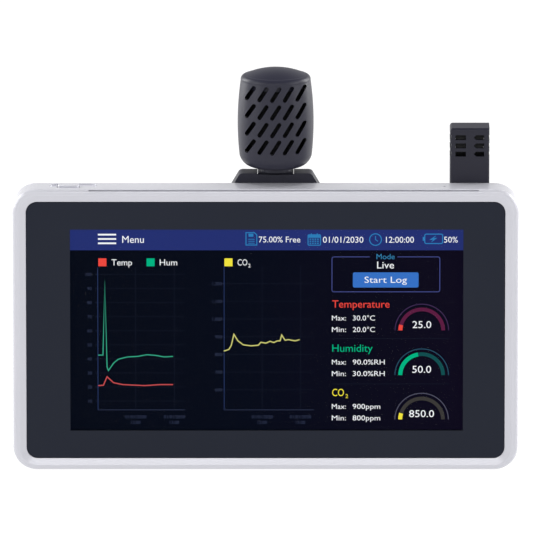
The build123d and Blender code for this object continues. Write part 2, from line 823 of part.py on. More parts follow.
save(head_knuckle.part, "head_knuckle")

with BuildPart() as hinge_washers:
    for start in (head_x - knuckle_w / 2 - washer_t, head_x + knuckle_w / 2):
        with BuildSketch(side_plane(start)):
            with Locations((head_y, pivot_z)):
                Circle(knuckle_r - 0.1)
                Circle(pivot_pin_r + hinge_fit, mode=Mode.SUBTRACT)
        extrude(amount=washer_t)
save(hinge_washers.part, "hinge_washers")

with BuildPart() as neck_nut:
    with BuildSketch(Plane.XY.offset(shell_low + head_wall)):
        with Locations((head_x, head_y)):
            RegularPolygon(spigot_r + 1.6, 6)
            Circle(spigot_r + screw_fit, mode=Mode.SUBTRACT)
    extrude(amount=1.5)
save(neck_nut.part, "neck_nut")

filter_r = head_top_r - head_wall - 1.4
filter_low = shell_low + 5.2
with BuildPart() as vent_filter:
    with BuildSketch(Plane.XY.offset(filter_low)):
        with Locations((head_x, head_y)):
            Circle(filter_r)
            Circle(filter_r - 0.4, mode=Mode.SUBTRACT)
    extrude(amount=shell_top - 2.4 - filter_low)
save(vent_filter.part, "vent_filter")

sensor_low = shell_low + head_wall + 2.4
with BuildPart() as co2_board:
    with BuildSketch(Plane.XY.offset(sensor_low)):
        with Locations((head_x, head_y + 1.6)):
            Rectangle(12.5, 1.0)
    extrude(amount=19.0)
save(co2_board.part, "co2_board")

with BuildPart() as co2_module:
    with BuildSketch(Plane.XY.offset(sensor_low + 4.5)):
        with Locations((head_x, head_y + 1.1 - 2.5)):
            Rectangle(10.5, 5.0)
    extrude(amount=12.5)
    fillet(co2_module.edges().filter_by(Axis.Z), 0.6)
    with BuildSketch(depth_plane(head_depth - 3.9, x=head_x, z=sensor_low + 10.75)):
        with GridLocations(2.2, 2.2, 3, 3):
            Circle(0.45)
    extrude(amount=-0.5, mode=Mode.SUBTRACT)
save(co2_module.part, "co2_module")

# ================================================================ climate probe
probe_half = probe_w / 2


def probe_outline(inset):
    """Front outline of the probe, moved in by a wall: a tall plate with two round shoulders."""
    left_r = max(probe_left_r - inset, 0.3)
    right_r = max(probe_right_r - inset, 0.3)
    half = probe_half - inset
    with BuildSketch(depth_plane(probe_mid_depth, x=probe_x)) as outline:
        with BuildLine():
            Polyline(
                (-half, probe_low + inset), (-half, probe_top - inset),
                (half, probe_top - inset), (half, probe_low + inset), close=True,
            )
        make_face()
        top = outline.vertices().group_by(Axis.Y)[-1].sort_by(Axis.X)
        fillet(top[0], left_r)
        fillet(top[-1], right_r)
    return outline.sketch


probe_face = probe_outline(0)
probe_hollow = probe_outline(probe_wall)
louvre_z = [louvre_top - louvre_pitch * row for row in range(louvre_rows)]


def probe_half_shell(towards, name):
    """One half of the probe's housing; towards is 1 for the front half, -1 for the back."""
    outward = (0, -towards, 0)
    with BuildPart() as shell:
        extrude(probe_face, amount=probe_t / 2, dir=outward)
        outer_face = shell.faces().sort_by(Axis.Y)[0 if towards > 0 else -1]
        fillet(outer_face.edges(), probe_edge_r)
        extrude(probe_hollow, amount=probe_t / 2 - probe_wall, dir=outward, mode=Mode.SUBTRACT)
        # louvres, square on the left and pointed on the right
        with BuildSketch(depth_plane(probe_mid_depth, x=probe_x)):
            for z in louvre_z:
                with Locations((-louvre_x, z)):
                    Rectangle(louvre_w, louvre_h)
                with BuildLine():
                    near = louvre_x - louvre_w / 2
                    far = louvre_x + louvre_w / 2
                    Polyline(
                        (near, z), (near + louvre_h / 2, z + louvre_h / 2), (far, z + louvre_h / 2),
                        (far, z - louvre_h / 2), (near + louvre_h / 2, z - louvre_h / 2), close=True,
                    )
                make_face()
        extrude(amount=towards * probe_t, mode=Mode.SUBTRACT)
        # shallow grooves that carry the louvres round both edges
        with BuildSketch(depth_plane(probe_mid_depth, x=probe_x)):
            for z in louvre_z:
                with Locations((-probe_half, z), (probe_half, z)):
                    Rectangle(0.9, louvre_h - 0.2)
        extrude(amount=towards * probe_t, mode=Mode.SUBTRACT)
        # hole for the plug through the bottom
        with BuildSketch(Plane.XY.offset(probe_low)):
            with Locations((probe_x, y_at(probe_mid_depth))):
                Circle(plug_r + screw_fit)
        extrude(amount=probe_wall, mode=Mode.SUBTRACT)
    save(shell.part, name)
    return shell


probe_front = probe_half_shell(1, "probe_front")
probe_back = probe_half_shell(-1, "probe_back")

with BuildPart() as probe_plug:
    with BuildSketch(Plane.XY.offset(probe_low + probe_wall)):
        with Locations((probe_x, y_at(probe_mid_depth))):
            Circle(plug_r + 0.8)
    extrude(amount=3.0)
    with BuildSketch(Plane.XY.offset(probe_low + probe_wall)):
        with Locations((probe_x, y_at(probe_mid_depth))):
            Circle(plug_r)
    extrude(amount=-probe_wall - plug_l)
    chamfer(probe_plug.faces().sort_by(Axis.Z)[0].edges(), 0.5)
save(probe_plug.part, "probe_plug")

probe_board_low = probe_low + probe_wall + 3.2
with BuildPart() as probe_board:
    with BuildSketch(Plane.XY.offset(probe_board_low)):
        with Locations((probe_x, y_at(probe_mid_depth) + 0.6)):
            Rectangle(probe_w - 2 * probe_wall - 1.0, 0.8)
    extrude(amount=probe_top - probe_wall - 0.6 - probe_board_low)
save(probe_board.part, "probe_board")

with BuildPart() as climate_sensor:
    with BuildSketch(depth_plane(probe_mid_depth + 0.2, x=probe_x, z=louvre_z[1])):
        Rectangle(2.6, 2.6)
    extrude(amount=0.9)
    with BuildSketch(depth_plane(probe_mid_depth - 0.7, x=probe_x, z=louvre_z[1])):
        Circle(0.5)
    extrude(amount=-0.4, mode=Mode.SUBTRACT)
save(climate_sensor.part, "climate_sensor")

socket_top = pocket_low - pocket_wall
with BuildPart() as probe_socket:
    with BuildSketch(Plane.XY.offset(socket_top)):
        with Locations((probe_x, y_at(probe_mid_depth))):
            RectangleRounded(8.0, 6.5, 0.6)
    extrude(amount=-6.5)
    with BuildSketch(Plane.XY.offset(socket_top)):
        with Locations((probe_x, y_at(probe_mid_depth))):
            Circle(plug_r + 0.08)
    extrude(amount=-5.0, mode=Mode.SUBTRACT)
save(probe_socket.part, "probe_socket")

# ================================================================ power button
flange_top = case_h - frame_wall - 0.05
with BuildPart() as power_button:
    with BuildSketch(Plane.XY.offset(flange_top)):
        with Locations((button_x, button_y)):
            RectangleRounded(button_w, button_d, 1.0)
    extrude(amount=case_h + button_proud - flange_top)
    fillet(power_button.faces().sort_by(Axis.Z)[-1].edges(), 0.25)
    with BuildSketch(Plane.XY.offset(flange_top)):
        with Locations((button_x, button_y)):
            Rectangle(button_w + 2 * button_flange, button_d - 0.2)
    extrude(amount=-0.7)
save(power_button.part, "power_button")

# ================================================================ stand
stand_plate_low = stand_low + stand_pad_h
with BuildPart() as stand_leg:
    with BuildSketch(depth_plane(stand_depth + stand_t / 2)):
        with Locations((0, (stand_plate_low + stand_axis_z) / 2)):
            Rectangle(stand_w, stand_axis_z - stand_plate_low)
    extrude(amount=stand_t)
    with BuildSketch(side_plane(-stand_w / 2)):
        with Locations((y_at(stand_depth), stand_axis_z)):
            Circle(stand_t / 2)
    extrude(amount=stand_w)
    with BuildSketch(side_plane(-stand_w / 2)):
        with Locations((y_at(stand_depth), stand_axis_z)):
            Circle(stand_pin_r + hinge_fit)
    extrude(amount=stand_w, mode=Mode.SUBTRACT)
    # lightening recess on the outer face
    with BuildSketch(depth_plane(stand_depth + stand_t / 2)):
        with Locations((0, (stand_plate_low + stand_axis_z) / 2)):
            RectangleRounded(stand_w - 12, stand_axis_z - stand_plate_low - 12, 3)
    extrude(amount=0.6, mode=Mode.SUBTRACT)
save(stand_leg.part, "stand_leg")

with BuildPart() as stand_pad:
    with BuildSketch(depth_plane(stand_depth + stand_t / 2 - 0.1)):
        with Locations((0, stand_low + stand_pad_h / 2)):
            Rectangle(stand_w - 6, stand_pad_h)
    extrude(amount=stand_t - 0.2)
save(stand_pad.part, "stand_pad")

with BuildPart() as stand_pin:
    with BuildSketch(side_plane(-stand_w / 2 - stand_edge)):
        with Locations((y_at(stand_depth), stand_axis_z)):
            Circle(stand_pin_r)
    extrude(amount=stand_w + 2 * stand_edge)
save(stand_pin.part, "stand_pin")
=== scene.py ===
import json
from math import cos, pi, radians, sin

import bmesh
import bpy
import numpy as np
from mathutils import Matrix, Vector


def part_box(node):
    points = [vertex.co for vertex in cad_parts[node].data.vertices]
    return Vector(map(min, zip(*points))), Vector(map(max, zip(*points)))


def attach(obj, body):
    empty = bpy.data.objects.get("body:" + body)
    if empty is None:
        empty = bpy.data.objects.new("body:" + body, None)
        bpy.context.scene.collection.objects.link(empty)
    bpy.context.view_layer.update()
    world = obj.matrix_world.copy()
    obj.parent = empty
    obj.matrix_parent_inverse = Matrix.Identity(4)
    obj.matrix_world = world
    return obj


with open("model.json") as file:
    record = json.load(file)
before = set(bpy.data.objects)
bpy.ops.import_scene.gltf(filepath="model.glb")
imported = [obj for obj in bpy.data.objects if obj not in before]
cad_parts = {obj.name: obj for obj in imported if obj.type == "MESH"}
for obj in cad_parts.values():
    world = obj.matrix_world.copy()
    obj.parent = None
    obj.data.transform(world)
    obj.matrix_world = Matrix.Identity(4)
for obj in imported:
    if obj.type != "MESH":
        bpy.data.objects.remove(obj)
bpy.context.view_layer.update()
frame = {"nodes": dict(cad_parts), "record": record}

MM = 0.001
nodes = frame["nodes"]
record = frame["record"]


# ---------------------------------------------------------------- the screen's place in the case
# Lengths on the screen are millimetres: u runs right from the lit area's left edge, w runs down from its top.
# The margins are the unlit edge of the panel.
PANEL_MARGIN_X = 2.6
PANEL_MARGIN_Z = 3.0
panel_low, panel_high = (np.array(corner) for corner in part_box("display_panel"))
mask_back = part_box("border_mask")[1][1]
screen_left = panel_low[0] + PANEL_MARGIN_X * MM
screen_top = panel_high[2] - PANEL_MARGIN_Z * MM
screen_w = (panel_high[0] - panel_low[0]) / MM - 2 * PANEL_MARGIN_X
screen_h = (panel_high[2] - panel_low[2]) / MM - 2 * PANEL_MARGIN_Z
air_gap = panel_low[1] - mask_back

# Lit marks lie in layers between the panel and the glass, LAYER_T thick. LAYER_FIRST and LAYER_STEP are parts
# of the gap between the two. BACK is the layer nearest the panel, FRONT the one nearest the glass.
LAYER_T = 0.006 * MM
LAYER_FIRST = 0.15
LAYER_STEP = 0.13
BACK, LINES, SIGNS, RAISED, FRONT = range(5)

SEAM_GAP = 0.0005 * MM      # points nearer than this are joined
MITRE_LEAST = 0.35          # keeps a stroke's sharp corners from growing long
ROUND_BAR_POINTS = 7
OUTLINE_POINTS = 6          # for each round corner of an outline
RING_POINTS = 48
HALF_RING_POINTS = 60
FILL_POINTS = 40
LETTER_CURVE_STEPS = 3
LETTER_HALF_T = 0.5


def linear(red, green, blue):
    """A colour given as 0-255 display values, as linear light."""
    c = np.array([red, green, blue]) / 255
    return tuple(np.where(c <= 0.04045, c / 12.92, ((c + 0.055) / 1.055) ** 2.4))


WHITE = linear(244, 246, 250)
DIM = linear(48, 56, 82)
FAINT = linear(26, 32, 48)
BAR_BLUE = linear(36, 48, 112)
ICON_BLUE = linear(44, 124, 184)
RULE_BLUE = linear(70, 78, 142)
AXIS_BLUE = linear(38, 54, 98)
BUTTON_BLUE = linear(54, 112, 196)
RED = linear(236, 72, 62)
GREEN = linear(0, 178, 128)
YELLOW = linear(240, 226, 62)
TEAL = linear(52, 128, 174)
GREEN_LINE = linear(52, 162, 130)
RED_LINE = linear(198, 78, 80)
YELLOW_LINE = linear(208, 206, 120)
TEMPERATURE_RIM, TEMPERATURE_BAND = linear(66, 46, 86), linear(92, 28, 64)
HUMIDITY_RIM, HUMIDITY_BAND = linear(40, 80, 104), linear(16, 76, 78)
CO2_RIM, CO2_BAND = linear(84, 84, 104), linear(58, 56, 54)
# the unlit panel, from left to right
PANEL_LEFT, PANEL_MIDDLE, PANEL_RIGHT = linear(4, 8, 20), linear(4, 8, 22), linear(12, 8, 26)


# ---------------------------------------------------------------- marks on the screen
def layer_y(layer):
    """The place in depth of a layer of lit marks."""
    return panel_low[1] - air_gap * (LAYER_FIRST + LAYER_STEP * layer)


def ribbon(points, width, layer, colour, closed=False):
    """A flat stroke: a rectangle, width across and one layer thick, carried along a path.

    Each path point p has a mitred side vector n, the path's tangent turned a quarter turn, and gives the four
    corners p + n w/2 and p - n w/2 on the front and on the back. width may be a number or one for each point.
    """
    p = np.asarray(points, float)
    count = len(p)
    w = np.broadcast_to(np.asarray(width, float), (count,))
    if closed:
        ahead = np.roll(p, -1, 0) - p
        behind = p - np.roll(p, 1, 0)
    else:
        step = np.diff(p, axis=0)
        ahead = np.vstack([step, step[-1:]])
        behind = np.vstack([step[:1], step])
    ahead = ahead / np.linalg.norm(ahead, axis=1, keepdims=True)
    behind = behind / np.linalg.norm(behind, axis=1, keepdims=True)
    tangent = ahead + behind
    tangent = tangent / np.linalg.norm(tangent, axis=1, keepdims=True)
    mitre = np.clip(np.sum(tangent * ahead, axis=1), MITRE_LEAST, 1)
    side = np.stack([-tangent[:, 1], tangent[:, 0]], 1) * (w / 2 / mitre)[:, None]
    flat = np.stack([p + side, p - side, p - side, p + side], 1)
    verts = np.empty((count, 4, 3))
    verts[:, :, 0] = screen_left + flat[:, :, 0] * MM
    verts[:, :, 2] = screen_top - flat[:, :, 1] * MM
    verts[:, :2, 1] = layer_y(layer) - LAYER_T
    verts[:, 2:, 1] = layer_y(layer)
    start = np.arange(count if closed else count - 1)
    after = (start + 1) % count
    faces = [np.stack([4 * start + k, 4 * start + (k + 1) % 4, 4 * after + (k + 1) % 4, 4 * after + k], 1)
             for k in range(4)]
    faces = np.vstack(faces)
    if not closed:
        last = 4 * (count - 1)
        faces = np.vstack([faces, [[3, 2, 1, 0]], [[last, last + 1, last + 2, last + 3]]])
    return verts.reshape(-1, 3), faces.tolist(), colour


def bar(u0, w0, u1, w1, layer, colour):
    """A filled rectangle: a ribbon as wide as it is high along its middle line."""
    middle = (w0 + w1) / 2
    return ribbon([(u0, middle), (u1, middle)], w1 - w0, layer, colour)


def level_line(u0, u1, w, stroke, layer, colour):
    """A straight line across the screen, as a rectangle about the line w."""
    return bar(u0, w - stroke / 2, u1, w + stroke / 2, layer, colour)


def upright_line(u, w0, w1, stroke, layer, colour):
    """A straight line down the screen, as a rectangle about the line u."""
    return bar(u - stroke / 2, w0, u + stroke / 2, w1, layer, colour)


def round_bar(u0, w0, u1, w1, radius, layer, colour):
    """A filled rectangle with round corners: the ribbon's width follows a quarter circle at both ends."""
    turn = np.linspace(0, pi / 2, ROUND_BAR_POINTS)
    inset = radius * (1 - np.sin(turn))
    narrow = 2 * radius * (1 - np.cos(turn))
    u = np.concatenate([u0 + inset[::-1], u1 - inset])
    width = np.concatenate([w1 - w0 - narrow[::-1], w1 - w0 - narrow])
    order = np.argsort(u, kind="stable")
    path = np.stack([u[order], np.full(len(u), (w0 + w1) / 2)], 1)
    return ribbon(path, width[order], layer, colour)


def arc_points(u, w, radius, start, end, count):
    """Points on a circle about (u, w) from start to end, in degrees, 0 to the right and 90 up."""
    a = np.radians(np.linspace(start, end, count))
    return np.stack([u + radius * np.cos(a), w - radius * np.sin(a)], 1)


def round_outline(u0, w0, u1, w1, radius):
    """The points of a rectangle's outline with round corners."""
    corners = [(u1 - radius, w0 + radius, 0), (u0 + radius, w0 + radius, 90),
               (u0 + radius, w1 - radius, 180), (u1 - radius, w1 - radius, 270)]
    return np.vstack([arc_points(u, w, radius, turn, turn + 90, OUTLINE_POINTS) for u, w, turn in corners])


def letters(text):
    """The text as a solid mesh at size 1: its points and its faces."""
    curve = bpy.data.curves.new("letters", "FONT")
    curve.body = text
    curve.resolution_u = LETTER_CURVE_STEPS
    curve.extrude = LETTER_HALF_T
    holder = bpy.data.objects.new("letters", curve)
    bpy.context.collection.objects.link(holder)
    bpy.context.view_layer.update()
    mesh = bpy.data.meshes.new_from_object(holder.evaluated_get(bpy.context.evaluated_depsgraph_get()))
    verts = np.empty(len(mesh.vertices) * 3)
    mesh.vertices.foreach_get("co", verts)
    faces = [tuple(face.vertices) for face in mesh.polygons]
    bpy.data.objects.remove(holder)
    bpy.data.curves.remove(curve)
    bpy.data.meshes.remove(mesh)
    return verts.reshape(-1, 3), faces


capital = letters("H")[0][:, 1].max()


def lettering(text, u, w, cap, layer, colour, align="left", width=None):
    """Text whose capitals are cap high, with its baseline at w. It is fitted to width where one is given."""
    verts, faces = letters(text)
    low, high = verts[:, 0].min(), verts[:, 0].max()
    scale = cap / capital
    across = width / (high - low) if width else scale
    shift = {"left": 0.0, "middle": 0.5, "right": 1.0}[align] * (high - low) * across
    placed = np.empty_like(verts)
    placed[:, 0] = screen_left + (u - shift + (verts[:, 0] - low) * across) * MM
    placed[:, 2] = screen_top - (w - verts[:, 1] * scale) * MM
    placed[:, 1] = layer_y(layer) - LAYER_T * (verts[:, 2] + LETTER_HALF_T)
    return placed, faces, colour


def placed_piece(name, mesh, material):
    """An object at the origin for a mesh, in its one material."""
    mesh.materials.append(material)
    piece = bpy.data.objects.new(name, mesh)
    bpy.context.collection.objects.link(piece)
    return piece


def close_seams(mesh):
    """Joins points that lie together and turns every face outward."""
    shape = bmesh.new()
    shape.from_mesh(mesh)
    bmesh.ops.remove_doubles(shape, verts=shape.verts, dist=SEAM_GAP)
    bmesh.ops.recalc_face_normals(shape, faces=shape.faces)
    shape.to_mesh(mesh)
    shape.free()
    mesh.update()


def lit_marks(name, marks, material):
    """One piece from many marks, each with its own colour in the point attribute ink."""
    verts = np.vstack([mark[0] for mark in marks])
    first = np.cumsum([0] + [len(mark[0]) for mark in marks])
    faces = [tuple(int(corner) + int(start) for corner in face)
             for start, mark in zip(first, marks) for face in mark[1]]
    colours = np.vstack([np.tile([*mark[2], 1.0], (len(mark[0]), 1)) for mark in marks])
    mesh = bpy.data.meshes.new(name)
    mesh.from_pydata(verts.tolist(), [], faces)
    ink = mesh.attributes.new("ink", "FLOAT_COLOR", "POINT")
    ink.data.foreach_set("color", colours.ravel())
    close_seams(mesh)
    piece = placed_piece(name, mesh, material)
    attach(piece, "case")


# ---------------------------------------------------------------- top bar
# A symbol's own lengths run from its top left corner.
TOP_BAR_H = 6.5
MENU_STROKE = 0.5
ICON_STROKE = 0.3
CALENDAR_STROKE = 0.28
HAND_STROKE = 0.26
MENU_LINES = (1.76, 3.07, 4.38)
TOP_BAR_WORDS = (  # words, left, baseline, height of a capital, width
    ("Menu", 15.5, 4.25, 2.1, 6.4),
    ("75.00% Free", 56.0, 4.1, 1.75, 12.3),
    ("01/01/2030", 75.0, 4.2, 1.8, 12.0),
    ("12:00:00", 93.7, 4.2, 1.8, 8.3),
    ("50%", 110.9, 4.15, 1.75, 4.1),
)


def floppy_icon(u, w):
    """Save symbol: a square with a cut corner, a shutter and three lines of a label."""
    outline = [(u, w), (u + 2.5, w), (u + 3.2, w + 0.7), (u + 3.2, w + 3.75), (u, w + 3.75)]
    marks = [
        ribbon(outline, ICON_STROKE, SIGNS, ICON_BLUE, closed=True),
        bar(u + 0.75, w + 0.3, u + 2.2, w + 1.25, SIGNS, ICON_BLUE),
    ]
    for top, low in ((1.9, 2.1), (2.5, 2.7), (3.1, 3.3)):
        marks.append(bar(u + 0.65, w + top, u + 2.55, w + low, SIGNS, ICON_BLUE))
    return marks


def calendar_icon(u, w):
    """Calendar symbol: a framed sheet with a solid head, two rings and a grid of days."""
    frame_line = round_outline(u, w + 0.3, u + 3.7, w + 3.45, 0.3)
    marks = [
        ribbon(frame_line, CALENDAR_STROKE, SIGNS, ICON_BLUE, closed=True),
        bar(u + 0.15, w + 0.45, u + 3.55, w + 1.2, SIGNS, ICON_BLUE),
    ]
    for left, right in ((0.8, 1.15), (2.55, 2.9)):
        marks.append(bar(u + left, w - 0.1, u + right, w + 0.5, RAISED, ICON_BLUE))
    for row in range(3):
        for column in range(4):
            left = u + 0.45 + 0.74 * column
            top = w + 1.45 + 0.62 * row
            marks.append(bar(left, top, left + 0.5, top + 0.36, SIGNS, ICON_BLUE))
    return marks


def clock_icon(u, w, radius):
    """Clock symbol about (u, w): a ring and two hands."""
    ring = arc_points(u, w, radius, 0, 360 - 360 / RING_POINTS, RING_POINTS)
    hands = [(u, w - radius * 0.62), (u, w), (u + radius * 0.42, w + radius * 0.3)]
    return [
        ribbon(ring, ICON_STROKE, SIGNS, ICON_BLUE, closed=True),
        ribbon(hands, HAND_STROKE, SIGNS, ICON_BLUE),
    ]


def battery_icon(u, w):
    """Battery symbol with its terminal on the left and a charging bolt, thin at both ends."""
    body = round_outline(u + 0.6, w, u + 5.9, w + 2.85, 0.45)
    bolt = [(u + 3.9, w + 0.5), (u + 2.6, w + 1.5), (u + 3.7, w + 1.4), (u + 2.6, w + 2.4)]
    return [
        ribbon(body, ICON_STROKE, SIGNS, ICON_BLUE, closed=True),
        bar(u, w + 0.85, u + 0.5, w + 2.0, SIGNS, ICON_BLUE),
        ribbon(bolt, [0.1, 0.5, 0.5, 0.1], SIGNS, ICON_BLUE),
    ]


def top_bar():
    """The bar across the top of the screen, with its menu sign and status symbols."""
    marks = [bar(0, 0, screen_w, TOP_BAR_H, BACK, BAR_BLUE)]
    marks += [level_line(8.3, 13.7, w, MENU_STROKE, SIGNS, WHITE) for w in MENU_LINES]
    marks += floppy_icon(52.2, 1.15) + calendar_icon(70.6, 1.5) + clock_icon(90.6, 3.25, 1.75)
    marks += battery_icon(104.6, 1.6)
    for words, left, baseline, cap, width in TOP_BAR_WORDS:
        marks.append(lettering(words, left, baseline, cap, SIGNS, WHITE, width=width))
    return marks


# ---------------------------------------------------------------- charts
CHART_LOW = 55.0
TRACE_STROKE = 0.32
AXIS_STROKE = 0.2
BASE_STROKE = 0.16
TICK_STROKE = 0.1
TICK_L = 0.7
GRID_STROKE = 0.08
TIME_STROKE = 0.1
SMALL_CAP = 0.95
TICK_LABEL_DROP = 0.5
DAY_BASELINE = 57.6
HOUR_BASELINE = 59.3
KEY_TOP, KEY_LOW, KEY_W = 8.95, 11.35, 2.4
KEY_BASELINE = 11.1
KEY_CAP = 1.85
GREEN_TRACE = [
    (8.3, 38.3), (9.7, 38.3), (10.3, 15.8), (10.9, 41.9), (11.3, 43.0), (11.8, 42.3), (12.9, 40.7),
    (14.2, 39.6), (16.8, 38.9), (20.1, 38.7), (22.7, 38.2), (25.4, 38.4), (27.9, 38.9), (30.5, 38.7)]
RED_TRACE = [
    (8.3, 47.6), (9.8, 47.5), (10.9, 44.9), (12.8, 46.7), (15.6, 47.3), (22.1, 47.6), (26.6, 47.3),
    (30.5, 47.3)]
YELLOW_TRACE = [
    (45.6, 37.1), (47.1, 36.6), (47.8, 35.4), (48.6, 32.0), (49.8, 34.0), (51.4, 35.2), (53.7, 35.5),
    (55.9, 35.3), (56.6, 34.4), (58.1, 34.7), (59.3, 34.1), (60.5, 34.5), (61.4, 34.0), (62.3, 34.0),
    (62.8, 32.2), (63.8, 33.8), (64.8, 33.6), (66.8, 34.0), (68.1, 33.6)]


def legend(u, colour, text, text_u, width):
    """A colour key and its name above a chart."""
    return [
        bar(u, KEY_TOP, u + KEY_W, KEY_LOW, LINES, colour),
        lettering(text, text_u, KEY_BASELINE, KEY_CAP, LINES, WHITE, width=width),
    ]


def chart(axis_u, end_u, top, tick_labels, tick_first, tick_step, label_u, time_u):
    """A chart's axes, tick labels, faint grid and time labels."""
    marks = [
        upright_line(axis_u, top, CHART_LOW, AXIS_STROKE, LINES, AXIS_BLUE),
        level_line(axis_u, end_u, CHART_LOW, BASE_STROKE, LINES, DIM),
    ]
    for index, text in enumerate(tick_labels):
        w = tick_first + tick_step * index
        marks.append(lettering(text, label_u, w + TICK_LABEL_DROP, SMALL_CAP, LINES, DIM, align="right"))
        marks.append(level_line(axis_u - TICK_L, axis_u, w, TICK_STROKE, LINES, DIM))
        marks.append(level_line(axis_u, end_u, w, GRID_STROKE, BACK, FAINT))
    for u, text in zip(time_u, ("12:00", "13:00")):
        marks.append(upright_line(u, top, CHART_LOW, TIME_STROKE, BACK, FAINT))
        marks.append(lettering("01/01/2030", u, DAY_BASELINE, SMALL_CAP, LINES, DIM, align="middle"))
        marks.append(lettering(text, u, HOUR_BASELINE, SMALL_CAP, LINES, DIM, align="middle"))
    return marks


def charts():
    """Both charts, their keys and their traces."""
    percent = [str(n) for n in range(100, 0, -10)]
    parts_per_million = [f"{n:,}" for n in range(1200, 500, -100)]
    marks = legend(8.4, RED, "Temp", 12.3, 6.1) + legend(22.7, GREEN, "Hum", 26.6, 5.2)
    marks += legend(45.8, YELLOW, "CO", 49.7, 2.9)
    marks.append(lettering("2", 52.85, 11.7, 1.1, LINES, WHITE))
    marks += chart(axis_u=8.2, end_u=34.0, top=11.7, tick_labels=percent, tick_first=13.8, tick_step=4.28,
                   label_u=6.4, time_u=(19.4, 30.9))
    marks += chart(axis_u=45.7, end_u=72.4, top=11.1, tick_labels=parts_per_million, tick_first=16.6,
                   tick_step=5.38, label_u=45.0, time_u=(57.0, 68.4))
    marks += [
        ribbon(RED_TRACE, TRACE_STROKE, RAISED, RED_LINE),
        ribbon(GREEN_TRACE, TRACE_STROKE, FRONT, GREEN_LINE),
        ribbon(YELLOW_TRACE, TRACE_STROKE, RAISED, YELLOW_LINE),
    ]
    return marks


# ---------------------------------------------------------------- readings
MODE_MIDDLE = 93.6
MODE_STROKE = 0.22
GAUGE_U = 104.4
GAUGE_RIM_R = 7.95
GAUGE_BAND_R = 6.35
GAUGE_RIM_STROKE, GAUGE_BAND_STROKE, GAUGE_FILL_STROKE = 0.24, 1.1, 1.2
GAUGE_VALUE_CAP = 2.1
GAUGE_VALUE_LIFT = 0.7
HEADING_U = 77.8
HEADING_CAP = 2.2
ROW_U = 77.7
ROW_VALUE_U = 83.9
ROW_CAP = 1.5
ROW_WORD_W = 4.2
MOST_DROP, LEAST_DROP = 3.9, 7.4
RULE_STROKE = 0.1


def mode_box():
    """The framed mode panel, whose top line is open behind its title, and the blue button in it."""
    left, top, right, low = 77.7, 8.5, 109.7, 19.1
    outline = round_outline(left, top, right, low, 0.6)
    from_top_left = np.roll(outline, -OUTLINE_POINTS, 0)
    path = np.vstack([[88.9, top], from_top_left, [97.1, top]])
    return [
        ribbon(path, MODE_STROKE, LINES, RULE_BLUE),
        lettering("Mode", MODE_MIDDLE, 9.2, 1.6, SIGNS, TEAL, align="middle", width=5.4),
        lettering("Live", MODE_MIDDLE, 12.0, 2.1, SIGNS, WHITE, align="middle", width=5.0),
        round_bar(83.9, 13.2, 103.4, 17.8, 0.5, LINES, BUTTON_BLUE),
        lettering("Start Log", 93.65, 16.35, 1.85, RAISED, WHITE, align="middle", width=12.6),
    ]


def gauge(w, rim, band, fill, fill_end, value, width):
    """A half-round gauge: a thin outer arc, a dim band, the filled part of the band and the value.

    fill_end is where the filled part ends, in degrees from the right, and the fill starts at the left.
    """
    rim_line = arc_points(GAUGE_U, w, GAUGE_RIM_R, 0, 180, HALF_RING_POINTS)
    band_line = arc_points(GAUGE_U, w, GAUGE_BAND_R, 0, 180, HALF_RING_POINTS)
    fill_line = arc_points(GAUGE_U, w, GAUGE_BAND_R, fill_end, 180, FILL_POINTS)
    return [
        ribbon(rim_line, GAUGE_RIM_STROKE, LINES, rim),
        ribbon(band_line, GAUGE_BAND_STROKE, LINES, band),
        ribbon(fill_line, GAUGE_FILL_STROKE, SIGNS, fill),
        lettering(value, GAUGE_U, w - GAUGE_VALUE_LIFT, GAUGE_VALUE_CAP, SIGNS, WHITE, align="middle",
                  width=width),
    ]


def reading(name, width, small, colour, w, most, least, value_width):
    """A reading's heading, with a small lowered figure where it has one, and its two extreme values."""
    marks = [lettering(name, HEADING_U, w, HEADING_CAP, LINES, colour, width=width)]
    if small:
        marks.append(lettering(small, 81.75, w + 0.6, 1.2, LINES, colour))
    for label, value, drop in (("Max:", most, MOST_DROP), ("Min:", least, LEAST_DROP)):
        marks.append(lettering(label, ROW_U, w + drop, ROW_CAP, LINES, WHITE, width=ROW_WORD_W))
        marks.append(lettering(value, ROW_VALUE_U, w + drop, ROW_CAP, LINES, WHITE, width=value_width))
    return marks


def readings():
    """The right-hand column: mode panel, three readings and their gauges."""
    marks = mode_box()
    marks += reading("Temperature", 17.0, "", RED, 23.9, "30.0°C", "20.0°C", 6.6)
    marks += reading("Humidity", 12.0, "", GREEN, 37.3, "90.0%RH", "30.0%RH", 9.5)
    marks += reading("CO", 3.5, "2", YELLOW, 50.8, "900ppm", "800ppm", 8.2)
    marks += gauge(30.8, TEMPERATURE_RIM, TEMPERATURE_BAND, RED, 165, "25.0", 5.6)
    marks += gauge(44.4, HUMIDITY_RIM, HUMIDITY_BAND, GREEN, 100, "50.0", 5.6)
    marks += gauge(57.9, CO2_RIM, CO2_BAND, YELLOW, 163, "850.0", 7.4)
    marks += [level_line(77.8, 112.5, w, RULE_STROKE, BACK, FAINT) for w in (33.3, 47.1)]
    return marks


# ---------------------------------------------------------------- shader groups
def add_socket(group, name, kind, direction, value=None):
    """A named input or output on a shader group."""
    socket = group.interface.new_socket(name=name, in_out=direction, socket_type=kind)
    if value is not None:
        socket.default_value = value
    return socket


